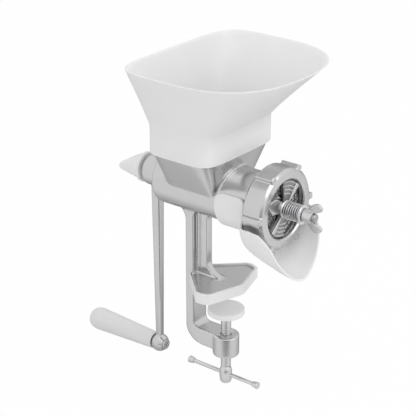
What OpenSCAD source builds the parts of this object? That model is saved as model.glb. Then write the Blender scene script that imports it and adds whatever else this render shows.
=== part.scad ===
// Hand crank table mill with a plastic hopper, a feed screw and a pair of burrs.
// The origin is on the clamp screw's axis, in the underside of the upper jaw.
// +X runs along the barrel towards the outlet, +Z is up, and Y = 0 is the mirror plane.

/* [Barrel] */
// Height of the barrel axis above the jaw face
axis_z = 101; // [95:1:115]
// Outside radius of the barrel
barrel_r = 27.5; // [26:0.5:29]
// Radius of the bore that the feed screw turns in
bore_r = 21.5; // [19:0.5:22]
// Distance from the clamp axis back to the barrel's rear face
barrel_rear = 69; // [66:1:74]
// Thickness of the barrel's rear wall
rear_wall = 8; // [6:0.5:10]
// Distance from the clamp axis to the front face of the threaded head
head_front = 58; // [57:0.5:60]
// Length of the threaded head
head_len = 12; // [11:0.5:12]
// Outside radius of the threaded head
head_r = 33; // [32.5:0.5:34]

/* [Inlet funnel] */
// Height of the funnel's foot above the barrel axis
funnel_foot_h = 2; // [0:0.5:5]
// Front face of the funnel at its foot
funnel_front = 5.5; // [4:0.5:7]
// Rear face of the funnel
funnel_rear = -55; // [-57:0.5:-53]
// Half width of the funnel at its foot
funnel_low_y = 27; // [25:0.5:27]
// Height above the barrel axis at which the upright collar starts
funnel_flare_h = 42; // [38:1:46]
// Height of the upright collar that the hopper sits on
collar_h = 10; // [8:1:12]
// Thickness of the funnel's wall
funnel_wall = 3; // [2.5:0.5:4]
// Radius of the funnel's front corners at its foot
foot_front_r = 3; // [2:0.5:6]
// Radius of the funnel's rear corners at its foot
foot_rear_r = 12; // [8:0.5:14]

/* [Hopper] */
// Length of the hopper's neck along the barrel
neck_len = 76.5; // [74:0.5:80]
// Width of the hopper's neck across the barrel
neck_w = 107; // [100:1:112]
// Forward position of the neck's centre
neck_x = -18.75; // [-20:0.25:-18]
// Height of the upright part of the neck
neck_h = 26; // [22:1:32]
// Height of the flare between neck and rim
flare_h = 60; // [50:1:70]
// Reach of the rim behind the clamp axis
rim_rear = 64.5; // [62:0.5:68]
// Reach of the rim in front of the clamp axis
rim_front = 84.5; // [76:0.5:90]
// Half width of the rim
rim_w = 85.5; // [78:0.5:90]
// Wall of the hopper
hopper_wall = 2; // [1.8:0.1:2.4]
// Width of the inner ledge that rests on the collar
ledge_w = 4; // [4:0.5:6]
// Thickness of that ledge
ledge_t = 2; // [1.5:0.5:3]

/* [Column and clamp frame] */
// Rear face of the column
column_rear = -42; // [-43:0.5:-40]
// Thickness of the column's rear flange
flange_t = 10; // [8:0.5:11]
// Half width of the flange
flange_y = 10.5; // [9:0.5:11]
// Depth of the web in front of the flange
web_d = 11.5; // [9:0.5:13]
// Half thickness of the web
web_y = 4.25; // [3.5:0.25:5]
// Height of the clamp arm's lower face below the jaw face
arm_bottom = 65; // [62:1:68]
// Height of the clamp arm
arm_h = 17; // [15:1:18]
// Outer corner radius of the clamp frame
arm_corner = 19; // [16:1:20]
// Radius of the boss that carries the clamp screw
boss_r = 13; // [12:0.5:14]
// Length of the boss
boss_len = 22; // [20:1:24]

/* [Upper jaw] */
// Half width of the jaw across its shoulders
jaw_y = 41; // [36:1:44]
// Reach of the jaw's nose in front of the clamp axis
jaw_nose = 21; // [19:1:24]
// Height of the plastic shoe's rim
shoe_h = 10.5; // [10:0.5:12]
// Floor and wall of the shoe
shoe_t = 2.2; // [2:0.1:3]
// Thickness of the metal plate in the shoe
plate_t = 6.5; // [5:0.5:7]

/* [Clamp screw] */
// Major radius of the clamp screw
screw_r = 5; // [4:0.5:5.5]
// Thread pitch
screw_pitch = 1.75; // [1.5:0.25:2.5]
// Gap between the jaw face and the pad as stored
clamp_gap = 21; // [18:1:30]
// Radius of the pad
pad_r = 18; // [16:0.5:20]
// Thickness of the pad's plastic disc
pad_t = 5.6; // [4:0.2:6]
// Distance from the pad's top down to the middle of the cross hole
screw_len = 72.5; // [71:0.5:80]
// Radius of the screw's head
thead_r = 6.2; // [6:0.1:7]
// Length of the screw's head
thead_len = 18; // [16:1:20]
// Radius of the tommy bar
bar_r = 2; // [1.8:0.1:2.6]
// Length of the tommy bar over its end caps
bar_len = 85; // [70:1:90]
// Forward slide of the tommy bar from its middle, as stored
bar_shift = -3; // [-10:0.5:10]
// Radius of the tommy bar's end caps
cap_r = 3.6; // [3.2:0.1:4]
// Length of each end cap
cap_len = 6; // [5:0.5:7]

/* [Ring nut] */
// Wall of the ring nut over the head's thread
ring_wall = 5.5; // [5:0.5:6.5]
// Front face of the ring nut
ring_front = 68.5; // [68:0.5:70]
// Thickness of the front lip
lip_t = 6.5; // [6:0.5:7]
// Radius of the opening in the lip
ring_open_r = 28; // [27:0.5:29]
// Height of the grip ribs
rib_h = 3.5; // [3:0.5:4]
// Width of the grip ribs
rib_w = 6; // [5:0.5:7]
// Number of grip ribs
rib_count = 6; // [4:1:6]

/* [Burrs] */
// Outside radius of the fixed burr
fixed_r = 32; // [30.5:0.5:32.5]
// Thickness of the fixed burr
fixed_t = 3.4; // [3:0.2:3.6]
// Radius of the fixed burr's feed hole
fixed_eye_r = 13; // [12:0.5:14]
// Number of teeth round the fixed burr
tooth_count = 24; // [18:1:28]
// Radius of the turning burr over its lobes
turning_r = 26.5; // [24:0.5:27]
// Thickness of the lobes
lobe_t = 3.2; // [2.5:0.1:3.5]
// Radius of the turning burr's hub
burr_hub_r = 8.5; // [8:0.5:9]
// Length of the turning burr's hub
burr_hub_len = 6.5; // [6:0.5:7]
// Height of the raised edge on each lobe
lobe_edge_h = 2.2; // [1:0.2:3]
// Width of that edge
lobe_edge_w = 3; // [2:0.5:4]
// Width of the plain arms between the lobes
burr_arm_w = 15; // [12:1:17]
// Radius of the dowels that hold the fixed burr
dowel_r = 1.5; // [1:0.1:2]
// Length of the dowels
dowel_len = 8.4; // [6:0.2:9]
// Travel of the turning burr against its spring
burr_travel = 1.5; // [1:0.1:2]

/* [Shaft and feed screw] */
// Radius of the shaft's journal in the rear bush
journal_r = 7; // [6.5:0.5:8]
// Radius of the shaft in front of the feed screw
stem_r = 4; // [3.5:0.25:4.25]
// Front end of the shaft
shaft_front = 100.5; // [99:0.5:106]
// Width of the square drive at the crank
drive_w = 9; // [8:0.5:9.5]
// Radius of the feed screw over its flight
flight_r = 20.5; // [18:0.5:20.75]
// Radius of the feed screw's core
core_r = 9; // [8.5:0.5:10]
// Pitch of the flight
flight_pitch = 30; // [25:1:36]
// Thickness of the flight
flight_t = 5; // [4:0.5:6]
// Wall of the rear bush
bush_wall = 4; // [3:0.5:5]
// Width of the bush's flange round its outside
bush_lip = 3; // [2:0.5:4]
// Thickness of that flange
bush_flange_t = 2.5; // [2:0.5:4]
// Radius of the thrust washer behind the feed screw
thrust_r = 15; // [13:0.5:18]
// Thickness of the thrust washer
thrust_t = 1.6; // [1:0.1:2.5]
// Radius of the cross pin through the feed screw
pin_r = 2; // [1.5:0.1:2.5]

/* [Adjuster] */
// Outside radius of the spring
spring_r = 8.5; // [8:0.1:9]
// Radius of the spring's wire
wire_r = 0.8; // [0.7:0.1:1]
// Number of turns of the spring
spring_turns = 6.5; // [5:0.5:8]
// Installed length of the spring
spring_len = 17; // [16:0.5:18]
// Radius of the spring cup
cup_r = 9.5; // [9.5:0.5:11]
// Thickness of the spring cup
cup_t = 2.4; // [2:0.2:3]
// Radius of the wing nut's body
nut_r = 6.5; // [6:0.5:7.5]
// Length of the wing nut's body
nut_len = 9; // [8:0.5:10]
// Span of the wing nut over its wings
wing_span = 29; // [27:1:34]

/* [Crank] */
// Gap between the crank's hub and the rear bush
hub_gap = 0.5; // [0.3:0.1:1]
// Length of the crank's hub
hub_len = 22.5; // [20:0.5:25]
// Distance from the hub's front face back to the crank arm
arm_back = 7.5; // [6:0.5:9]
// Radius of the crank's hub
hub_r = 15.5; // [14:0.5:16.5]
// Distance from the barrel axis to the handle's axis
crank_len = 189; // [150:1:200]
// Thickness of the crank arm at the hub
arm_top_x = 10; // [9:0.5:11]
// Width of the crank arm at the hub
arm_top_y = 9.2; // [8.5:0.1:11]
// Thickness of the crank arm at the ball
arm_low_x = 6.4; // [6:0.1:8]
// Width of the crank arm at the ball
arm_low_y = 6.4; // [6:0.1:8]
// Radius of the ball at the crank's end
ball_r = 9.2; // [8:0.1:10]
// Length of the grip
grip_len = 80; // [70:1:95]
// Radius of the grip next to the crank
grip_near_r = 8.8; // [8:0.1:10]
// Largest radius of the grip
grip_far_r = 11.6; // [10:0.1:13]
// Radius of the spindle that the grip turns on
spindle_r = 3; // [2.5:0.25:3.5]
// Length of the crank screw's plastic wing
wing_len = 26; // [22:1:30]
// Width of that wing at its end
wing_w = 31; // [26:1:34]

/* [Chute] */
// Rear edge of the chute's clip
chute_rear = 8; // [7.5:0.5:9]
// Front edge of the chute's clip
chute_front = 41.5; // [40:0.5:42]
// Wall of the chute
chute_wall = 2; // [1.8:0.1:2.6]
// Angle that the clip's arms reach above the barrel axis
clip_angle = 22; // [15:1:26]
// Reach of the lip in front of the clamp axis
lip_x = 89.5; // [86:0.5:92]
// Height of the lip's underside above the jaw face
lip_z = 36; // [33:0.5:40]
// Height of the lip's upper corners above its underside
lip_h = 42.5; // [38:0.5:45]
// Half width of the trough at those corners
lip_w = 38; // [35:0.5:40]
// Distance of those corners behind the lip's front
lip_lean = 11.5; // [8:0.5:14]

/* [Fits] */
// Radial clearance of turning fits
running = 0.05; // [0.03:0.01:0.08]
// Gap between pieces of different bodies
gap = 0.3; // [0.3:0.05:0.4]

/* [Hidden] */
$fn = 64;
eps = 0.01;

// Funnel and collar
collar_z = axis_z + funnel_flare_h;
collar_top = collar_z + collar_h;
collar_inset = hopper_wall + gap;
// Hopper
skirt_z = collar_z - 0.5;
ledge_z = collar_top + gap;
hopper_steps = 72;
neck_power = 5.5;
rim_rear_power = 5.2;
rim_front_power = 2.55;
flare_power = 1.08;
flare_shares = [0, 0.08, 0.2, 0.4, 0.6, 0.8, 1];
// Column
flange_front = column_rear + flange_t;
web_front = flange_front + web_d;
arm_top = arm_bottom - arm_h;
// Ring nut
ring_r = head_r + ring_wall;
ring_rear = head_front - head_len;
lip_rear = ring_front - lip_t;
rib_rear = ring_rear + 2.5;
rib_tip_r = ring_r + rib_h;
// Burrs
fixed_front = head_front + fixed_t;
turning_rear = fixed_front + gap;
turning_front = turning_rear + burr_hub_len;
dowel_centre_r = (fixed_r + bore_r) / 2;
dowel_rear = fixed_front - 1 - dowel_len;
stem_square = 2 * stem_r * 0.86;
square_front = turning_front + burr_travel + 0.5;
lobe_angle = 66;
lobe_half = 27;
// Adjuster
spring_rear = turning_front + gap;
cup_rear = spring_rear + spring_len;
nut_rear = cup_rear + cup_t + gap;
wire_sides = 8;
rings_per_turn = 16;
// Shaft
bore_rear = -barrel_rear + rear_wall;
feed_rear = bore_rear + thrust_t;
feed_front = head_front - 2;
bush_r = journal_r + bush_wall;
pin_x = feed_rear + 7;
// Crank
hub_front = -barrel_rear - bush_flange_t - hub_gap;
hub_rear = hub_front - hub_len;
arm_x = hub_front - arm_back - arm_top_x / 2;
grip_z = axis_z - crank_len;
stud_r = 3;
stud_depth = 12;
hub_washer_t = 1.5;
hub_washer_r = 11;
grip_start = arm_x - ball_r - 1.2;
grip_end = grip_start - grip_len;
spindle_head_r = 5;
// Clamp
plate_z = shoe_t;
jaw_top = plate_z + plate_t;
pad_top = -clamp_gap;
hole_z = pad_top - screw_len;
socket_t = 4;
socket_r = 9;
socket_top = pad_top - pad_t;
socket_low = socket_top - socket_t;
tip_r = screw_r - 1;
boss_top = -arm_top - 1;
boss_low = boss_top - boss_len;
// Chute
clip_r = barrel_r + gap;
clip_out_r = clip_r + chute_wall + 0.8;
clip_top = axis_z + clip_out_r * sin(clip_angle);
clip_low = axis_z - clip_out_r - 1;
clip_rear_corner = 9;
clip_front_corner = 6;
trough_top = axis_z - 9.6;
trough_steps = 20;
trough_power = 2;
lip_power = 1.65;
trough_rear = chute_front + 6.8;
trough_room = rib_tip_r + gap;
trough_w = sqrt(pow(trough_room, 2) - pow(axis_z - trough_top, 2)) + chute_wall;
trough_low = axis_z - trough_room - chute_wall - 1.2;

// ---- Helpers ----

function unit(v) = v / norm(v);

// Points of the arc that rounds corner b between a and c.
function corner(a, b, c, r, n = 6) =
    let (u = unit(a - b),
         v = unit(c - b),
         half = acos(u * v) / 2,
         centre = b + unit(u + v) * r / sin(half),
         t0 = b + u * r / tan(half) - centre,
         t1 = b + v * r / tan(half) - centre,
         start = atan2(t0.y, t0.x),
         turn = (atan2(t1.y, t1.x) - start + 540) % 360 - 180)
    [for (i = [0 : n]) centre + r * [cos(start + turn * i / n), sin(start + turn * i / n)]];

// Outline with each corner rounded by its own radius.
function rounded(pts, radii, n = 6) =
    let (k = len(pts))
    [for (i = [0 : k - 1])
        each radii[i] > 0
            ? corner(pts[(i + k - 1) % k], pts[i], pts[(i + 1) % k], radii[i], n)
            : [pts[i]]];

// Cylinder along the barrel axis between two X positions.
module along(x0, x1, r, y = 0, z = axis_z) {
    translate([x0, y, z])
        rotate([0, 90, 0])
            cylinder(h = x1 - x0, r = r);
}

// Ring along the barrel axis.
module ring(x0, x1, r_out, r_in, z = axis_z) {
    difference() {
        along(x0, x1, r_out, z = z);
        along(x0 - 1, x1 + 1, r_in, z = z);
    }
}

// Square bar along the barrel axis.
module square_bar(x0, x1, w) {
    translate([x0, -w / 2, axis_z - w / 2])
        cube([x1 - x0, w, w]);
}

// Profile [radius, x] turned round the barrel axis.
module turned(profile, z = axis_z) {
    translate([0, 0, z])
        rotate([0, 90, 0])
            rotate_extrude($fn = 96)
                polygon(profile);
}

// Places a shape drawn in YZ, at angle a round the barrel axis.
module facing(x, a) {
    translate([x, 0, axis_z])
        rotate([a, 0, 0])
            rotate([90, 0, 90])
                children();
}

// Rectangle with its own corner radii in front and behind.
module plan_rect(rear, front, half_w, front_r, rear_r) {
    polygon(rounded([[front, half_w], [rear, half_w], [rear, -half_w], [front, -half_w]],
                    [front_r, rear_r, rear_r, front_r]));
}

// Plate with a side outline in XZ, thickness across Y.
module side_plate(pts, half_y) {
    translate([0, half_y, 0])
        rotate([90, 0, 0])
            linear_extrude(2 * half_y)
                polygon(pts);
}

// Closed shell through loops of points, joined in order and back to the first.
module loop_shell(loops) {
    n = len(loops[0]);
    m = len(loops);
    points = [for (loop = loops) each loop];
    faces = [for (j = [0 : m - 1])
                for (i = [0 : n - 1])
                    let (a = j * n + i,
                         b = j * n + (i + 1) % n,
                         c = ((j + 1) % m) * n + (i + 1) % n,
                         d = ((j + 1) % m) * n + i)
                    each [[a, c, b], [a, d, c]]];
    polyhedron(points, faces, convexity = 6);
}

// ---- Mill frame ----

// Plan of the jaw, moved inwards by t.
function jaw_plan(t) =
    let (y = jaw_y - t,
         s = t * 0.7)
    rounded([[jaw_nose - t, 0], [9.5 - t, y - 3], [2 - t, y], [-5, y], [column_rear + 6 + s, flange_y + 1],
             [column_rear + 6 + s, -flange_y - 1], [-5, -y], [2 - t, -y], [9.5 - t, -y + 3]],
            [12, 4, 4, 4, 0, 0, 4, 4, 4]);

// Funnel with its walls moved inwards by t.
module funnel_form(t, low, top) {
    hull() {
        translate([0, 0, low])
            linear_extrude(1)
                plan_rect(funnel_rear + t, funnel_front - t, funnel_low_y - t, foot_front_r, foot_rear_r);
        translate([0, 0, collar_z - 1])
            linear_extrude(1)
                polygon(neck_plan(collar_inset + t));
    }
    translate([0, 0, collar_z - eps])
        linear_extrude(top - collar_z + eps)
            polygon(neck_plan(collar_inset + t));
}

// Flange of the column and the clamp arm, seen from the side.
function frame_side() =
    let (top = axis_z - barrel_r + 4)
    concat([[column_rear - 6, top]],
           corner([column_rear - 6, top], [column_rear, top - 9], [column_rear, 0], 9),
           corner([column_rear, 0], [column_rear, -arm_bottom], [0, -arm_bottom], arm_corner),
           [[0, -arm_bottom], [0, -arm_top]],
           corner([0, -arm_top], [flange_front, -arm_top], [flange_front, 0], 5),
           corner([flange_front, 0], [flange_front, top - 6], [flange_front + 4, top], 6),
           [[flange_front + 4, top]]);

// Web in front of the flange, with its foot on the jaw.
function web_side() =
    let (top = axis_z - barrel_r + 3)
    concat([[flange_front - 1, top], [flange_front - 1, jaw_top - 1], [web_front + 20, jaw_top - 1]],
           corner([web_front + 20, jaw_top - 1], [web_front, jaw_top + 5], [web_front, axis_z], 14),
           corner([web_front, jaw_top], [web_front, top - 7], [web_front + 7, top], 6),
           [[web_front + 7, top]]);

module mill_body() color("silver")
    difference() {
        union() {
            along(-barrel_rear, head_front - head_len + 1, barrel_r);
            turned([[0, head_front - head_len - 0.5], [barrel_r, head_front - head_len - 0.5],
                    [head_r, head_front - head_len + 3], [head_r, head_front - 1],
                    [head_r - 1, head_front], [0, head_front]]);
            funnel_form(0, axis_z + funnel_foot_h, collar_top);
            side_plate(frame_side(), flange_y);
            side_plate(web_side(), web_y);
            translate([0, 0, plate_z])
                linear_extrude(plate_t)
                    polygon(jaw_plan(shoe_t));
            translate([0, 0, boss_low])
                cylinder(h = boss_len, r = boss_r);
        }
        // Feed bore, rear bearing seat and the funnel's throat.
        along(bore_rear, head_front + 1, bore_r);
        along(-barrel_rear - 1, bore_rear + 1, bush_r);
        funnel_form(funnel_wall, axis_z + funnel_foot_h, collar_top + 1);
        // Tapped hole of the clamp screw.
        translate([0, 0, boss_low - 1])
            cylinder(h = boss_len + 2, r = screw_r + running);
        // Holes of the fixed burr's dowels.
        for (side = [-1, 1])
            along(dowel_rear, head_front + 1, dowel_r, y = side * dowel_centre_r);
    }

module rear_bush() color("goldenrod")
    difference() {
        union() {
            along(-barrel_rear - bush_flange_t, -barrel_rear, bush_r + bush_lip);
            along(-barrel_rear, bore_rear, bush_r);
        }
        along(-barrel_rear - bush_flange_t - 1, bore_rear + 1, journal_r + running);
    }

// Plate with a feed hole, and rings of teeth cut by radial slots.
module fixed_burr() color("dimgray")
    difference() {
        ring(head_front, fixed_front, fixed_r, fixed_eye_r);
        for (i = [0 : 2])
            ring(fixed_front - 1, fixed_front + 1, fixed_eye_r + 4.6 + 5 * i, fixed_eye_r + 3.4 + 5 * i);
        for (i = [0 : tooth_count - 1])
            translate([fixed_front - 1, 0, axis_z])
                rotate([i * 360 / tooth_count, 0, 0])
                    translate([0, fixed_eye_r - 1, -0.6])
                        cube([2, ring_open_r - fixed_eye_r, 1.2]);
        for (side = [-1, 1])
            along(head_front - 1, fixed_front + 1, dowel_r, y = side * dowel_centre_r);
    }

module burr_dowels() color("gray")
    for (side = [-1, 1])
        along(dowel_rear, dowel_rear + dowel_len, dowel_r, y = side * dowel_centre_r);

module jaw_shoe() color("white")
    difference() {
        linear_extrude(shoe_h)
            polygon(jaw_plan(0));
        translate([0, 0, plate_z])
            linear_extrude(shoe_h)
                polygon(jaw_plan(shoe_t));
        translate([column_rear - 1, -flange_y, -1])
            cube([flange_t + 1, 2 * flange_y, shoe_h + 2]);
    }

// ---- Hopper ----

// Point of a superellipse with its own half lengths behind and in front.
function oval(t, x, rear, front, half_w, rear_power, front_power) =
    let (c = cos(t),
         s = sin(t),
         p = 2 / (c < 0 ? rear_power : front_power))
    [x + (c < 0 ? -rear : front) * pow(abs(c), p), sign(s) * half_w * pow(abs(s), p)];

// Plan of the neck, moved inwards by t.
function neck_plan(t) =
    [for (i = [0 : hopper_steps - 1])
        oval(i * 360 / hopper_steps, neck_x, neck_len / 2 - t, neck_len / 2 - t,
             neck_w / 2 - t, neck_power, neck_power)];

function neck_loop(z, t) = [for (q = neck_plan(t)) [q.x, q.y, z]];

// Loop of the flare at the share u of its height.
function flare_loop(u, t) =
    let (neck = neck_plan(t))
    [for (i = [0 : hopper_steps - 1])
        let (r = oval(i * 360 / hopper_steps, 0, rim_rear - t, rim_front - t, rim_w - t,
                      rim_rear_power, rim_front_power),
             q = neck[i] + (r - neck[i]) * pow(u, flare_power))
        [q.x, q.y, skirt_z + neck_h + flare_h * u]];

module hopper() color("whitesmoke")
    loop_shell(concat(
        [neck_loop(skirt_z, 0)],
        [for (u = flare_shares) flare_loop(u, 0)],
        [for (i = [len(flare_shares) - 1 : -1 : 0]) flare_loop(flare_shares[i], hopper_wall)],
        [neck_loop(ledge_z + ledge_t, hopper_wall),
         neck_loop(ledge_z + ledge_t, hopper_wall + ledge_w),
         neck_loop(ledge_z, hopper_wall + ledge_w),
         neck_loop(ledge_z, hopper_wall),
         neck_loop(skirt_z, hopper_wall)]));

// ---- Chute ----

function mix(a, b, u) = a + (b - a) * u;

// Shares of the way from the trough's rear to its lip that each station has gone:
// X at the top, X at the bottom, half width, top and bottom.
trough_shares = [[0, 0, 0, 0, 0],
                 [0.3, 0.2, 0, 0.03, 0.36],
                 [0.66, 0.46, 0, 0.12, 0.64],
                 [0.83, 0.72, 0.5, 0.5, 0.86],
                 [1, 1, 1, 1, 1]];

// X at the top and at the bottom, half width, top, bottom and roundness of the trough.
trough_stations = concat(
    [[chute_front - 1.5, chute_front - 1.5, clip_out_r - 0.3, trough_top + 2,
      axis_z - clip_out_r + 0.3, trough_power],
     [chute_front + 2.5, chute_front + 3, mix(clip_out_r, trough_w, 0.58), trough_top + 1,
      mix(axis_z - clip_out_r, trough_low, 0.6), trough_power]],
    [for (u = trough_shares)
        [mix(trough_rear, lip_x - lip_lean, u[0]), mix(trough_rear + 1, lip_x, u[1]),
         mix(trough_w, lip_w, u[2]), mix(trough_top, lip_z + lip_h, u[3]),
         mix(trough_low, lip_z, u[4]), mix(trough_power, lip_power, u[0])]]);

// Half of a flat oval from one top edge round the bottom to the other.
function trough_arc(s, t) =
    [for (i = [0 : trough_steps])
        let (a = 180 * i / trough_steps,
             c = cos(a),
             p = 2 / s[5])
        [mix(s[0], s[1], sin(a)), -sign(c) * (s[2] - t) * pow(abs(c), p),
         s[3] - (s[3] - s[4] - t) * pow(sin(a), p)]];

module trough() {
    n = trough_steps + 1;
    m = len(trough_stations);
    k = 2 * n;
    points = [for (s = trough_stations)
                 each concat(trough_arc(s, 0),
                             [for (i = [n - 1 : -1 : 0]) trough_arc(s, chute_wall)[i]])];
    walls = [for (j = [0 : m - 2])
                for (i = [0 : k - 1])
                    let (a = j * k + i,
                         b = j * k + (i + 1) % k,
                         c = (j + 1) * k + (i + 1) % k,
                         d = (j + 1) * k + i)
                    each [[a, c, b], [a, d, c]]];
    ends = [for (i = [0 : n - 2])
               each [[i, k - 2 - i, k - 1 - i], [i, i + 1, k - 2 - i]]];
    last = (m - 1) * k;
    lip = [for (f = ends) [last + f[0], last + f[2], last + f[1]]];
    polyhedron(points, concat(walls, ends, lip), convexity = 6);
}

module chute() color("white")
    union() {
        intersection() {
            ring(chute_rear, chute_front, clip_out_r, clip_r);
            side_plate(rounded([[chute_rear, clip_low], [chute_rear, clip_top],
                                [chute_front, clip_top], [chute_front, clip_low]],
                               [0, clip_rear_corner, clip_front_corner, 0]),
                       2 * clip_out_r);
        }
        trough();
    }

// ---- Ring nut ----

module ring_nut() color("silver")
    union() {
        turned([[head_r + running, ring_rear], [ring_r - 1.5, ring_rear], [ring_r, ring_rear + 1.5],
                [ring_r, ring_front - 3], [ring_r - 2.5, ring_front - 0.6],
                [ring_open_r + 1.5, ring_front], [ring_open_r, ring_front - 1.5],
                [ring_open_r, lip_rear], [head_r + running, lip_rear]]);
        for (i = [0 : rib_count - 1])
            facing(rib_rear, i * 360 / rib_count)
                linear_extrude(ring_front - 0.8 - rib_rear)
                    polygon(rounded([[ring_r - 1, -rib_w / 2], [rib_tip_r, -rib_w / 2],
                                     [rib_tip_r, rib_w / 2], [ring_r - 1, rib_w / 2]],
                                    [0, 1.2, 1.2, 0], 3));
    }

// ---- Rotor ----

// Shaft with its square drives, cross hole and tapped rear end.
module main_shaft() color("gainsboro")
    difference() {
        union() {
            square_bar(hub_rear + 1, hub_front + 1, drive_w);
            along(hub_front, feed_rear, journal_r);
            along(feed_rear - 1, feed_front + 1, stem_r + 2);
            square_bar(feed_front, square_front, stem_square);
            turned([[0, square_front - eps], [stem_r, square_front - eps], [stem_r, shaft_front - 1],
                    [stem_r - 1, shaft_front], [0, shaft_front]]);
        }
        shaft_holes();
    }

// Flight of the feed screw, wound round the core.
module flight() {
    length = feed_front - feed_rear - gap;
    turns = length / flight_pitch;
    translate([feed_rear + gap, 0, axis_z])
        rotate([0, 90, 0])
            linear_extrude(length, twist = -360 * turns, slices = ceil(turns * 10), segments = 4)
                translate([core_r - 1.5, -flight_t / 2])
                    square([flight_r - core_r + 1.5, flight_t]);
}

module feed_screw() color("darkgray")
    difference() {
        union() {
            along(feed_rear + gap, feed_front, core_r);
            flight();
        }
        along(feed_rear, feed_front + 1, stem_r + 2 + running);
        translate([pin_x, 0, axis_z - core_r - 1])
            cylinder(h = 2 * core_r + 2, r = pin_r + running);
    }

module screw_cross_pin() color("gray")
    translate([pin_x, 0, axis_z - core_r + 0.6])
        cylinder(h = 2 * core_r - 1.2, r = pin_r);

module thrust_washer() color("goldenrod")
    ring(bore_rear + gap, feed_rear, thrust_r, journal_r + running);

// Tapped hole of the crank screw and the hole of the cross pin.
module shaft_holes() {
    along(hub_rear, hub_rear + 1 + stud_depth + 1, stud_r + running);
    translate([pin_x, 0, axis_z - core_r - 1])
        cylinder(h = 2 * core_r + 2, r = pin_r + running);
}

module arm_slice(z, w, d) {
    translate([arm_x, 0, z])
        linear_extrude(0.5)
            polygon(rounded([[w / 2, d / 2], [-w / 2, d / 2], [-w / 2, -d / 2], [w / 2, -d / 2]],
                            [1.4, 1.4, 1.4, 1.4], 3));
}

module crank_arm() color("darkgray")
    difference() {
        union() {
            turned([[0, hub_rear], [hub_r - 4, hub_rear], [hub_r - 1.6, hub_rear + 1.4],
                    [hub_r, hub_rear + 4.5], [hub_r, hub_front - 1], [hub_r - 1, hub_front], [0, hub_front]]);
            hull() {
                arm_slice(axis_z - hub_r + 5, arm_top_x, arm_top_y);
                arm_slice(grip_z + ball_r - 3, arm_low_x, arm_low_y);
            }
            translate([arm_x, 0, grip_z])
                sphere(r = ball_r);
        }
        square_bar(hub_rear - 1, hub_front + 1, drive_w + 2 * running);
        along(arm_x - ball_r - 1, arm_x + ball_r + 1, spindle_r + running, z = grip_z);
        along(arm_x + ball_r - 3.5, arm_x + ball_r + 1, spindle_head_r + running, z = grip_z);
    }

module hub_washer() color("silver")
    ring(hub_rear - hub_washer_t, hub_rear, hub_washer_r, stud_r + gap);

module crank_screw_stud() color("silver")
    along(hub_rear - hub_washer_t - wing_len * 0.45, hub_rear + 1 + stud_depth, stud_r);

// Plastic wing moulded over the stud: a round foot that flattens into a blade.
module crank_screw_wing() color("white") {
    foot = hub_rear - hub_washer_t - gap;
    difference() {
        union() {
            along(foot - 4, foot, hub_r - 0.5);
            hull() {
                along(foot - 5, foot - 3.5, hub_r - 2);
                for (side = [-1, 1])
                    translate([foot - wing_len + 4, side * (wing_w / 2 - 4), axis_z])
                        sphere(r = 4, $fn = 24);
            }
        }
        along(hub_rear - hub_washer_t - wing_len * 0.45, foot + 1, stud_r + running);
    }
}

// Spindle through the ball and the grip, with a slotted head and an end nut.
module grip_spindle() color("silver")
    difference() {
        union() {
            along(grip_end + 9, arm_x + ball_r - 1, spindle_r, z = grip_z);
            along(arm_x + ball_r - 3.5, arm_x + ball_r - 0.4, spindle_head_r, z = grip_z);
            along(grip_end + 6, grip_end + 9, spindle_r + 2.2, z = grip_z);
        }
        for (a = [0, 90])
            translate([arm_x + ball_r - 2.2, 0, grip_z])
                rotate([a + 20, 0, 0])
                    translate([0, -3.2, -0.6])
                        cube([3, 6.4, 1.2]);
    }

module grip_washer() color("silver")
    ring(grip_start + gap, grip_start + 1.3, 6.5, spindle_r + running, z = grip_z);

module handle_grip() color("white")
    difference() {
        turned([[0, grip_start], [grip_near_r - 1.2, grip_start], [grip_near_r, grip_start - 1.5],
                [grip_far_r - 0.3, grip_end + 14], [grip_far_r, grip_end + 9],
                [grip_far_r - 0.8, grip_end + 4], [grip_far_r - 3, grip_end + 1],
                [grip_far_r - 5, grip_end], [0, grip_end]], z = grip_z);
        along(grip_end + 8, grip_start + 1, spindle_r + running, z = grip_z);
        along(grip_end - 1, grip_end + 9 + gap, spindle_r + 2.2 + gap, z = grip_z);
    }

module grip_plug() color("white")
    turned([[0, grip_end + 3], [spindle_r + 2.2 + gap, grip_end + 3], [spindle_r + 2.2 + gap, grip_end + 0.1],
            [3, grip_end - 0.4], [0, grip_end - 0.5]], z = grip_z);

module sector(r, half) {
    polygon(concat([[0, 0]], [for (i = [0 : 8]) let (a = -half + 2 * half * i / 8) r * [cos(a), sin(a)]]));
}

// Two toothed lobes with a raised edge, and two plain arms between them.
module rotating_burr() color("dimgray")
    difference() {
        union() {
            along(turning_rear, turning_front, burr_hub_r);
            for (i = [0, 1]) {
                facing(turning_rear, lobe_angle + 180 * i)
                    linear_extrude(lobe_t)
                        sector(turning_r, lobe_half);
                facing(turning_rear, lobe_angle - lobe_half + 180 * i)
                    linear_extrude(lobe_t + lobe_edge_h)
                        translate([burr_hub_r / 2, 0])
                            square([turning_r - burr_hub_r / 2 - 0.6, lobe_edge_w]);
                facing(turning_rear, lobe_angle + 90 + 180 * i)
                    linear_extrude(lobe_t + 1)
                        polygon(rounded([[0, -burr_arm_w / 3], [turning_r * 0.62, -burr_arm_w / 2],
                                         [turning_r, 0], [turning_r * 0.62, burr_arm_w / 2],
                                         [0, burr_arm_w / 3]],
                                        [0, 3, 2, 3, 0], 4));
            }
        }
        square_bar(turning_rear - 1, turning_front + 1, stem_square + 2 * gap);
        // Slots that leave teeth on the lobes.
        for (i = [0, 1])
            for (j = [0 : 3])
                facing(turning_rear + lobe_t - 1, lobe_angle + 180 * i - 18 + 13 * j)
                    linear_extrude(1.05)
                        translate([burr_hub_r + 3, -0.7])
                            square([turning_r - burr_hub_r, 1.4]);
    }

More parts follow.
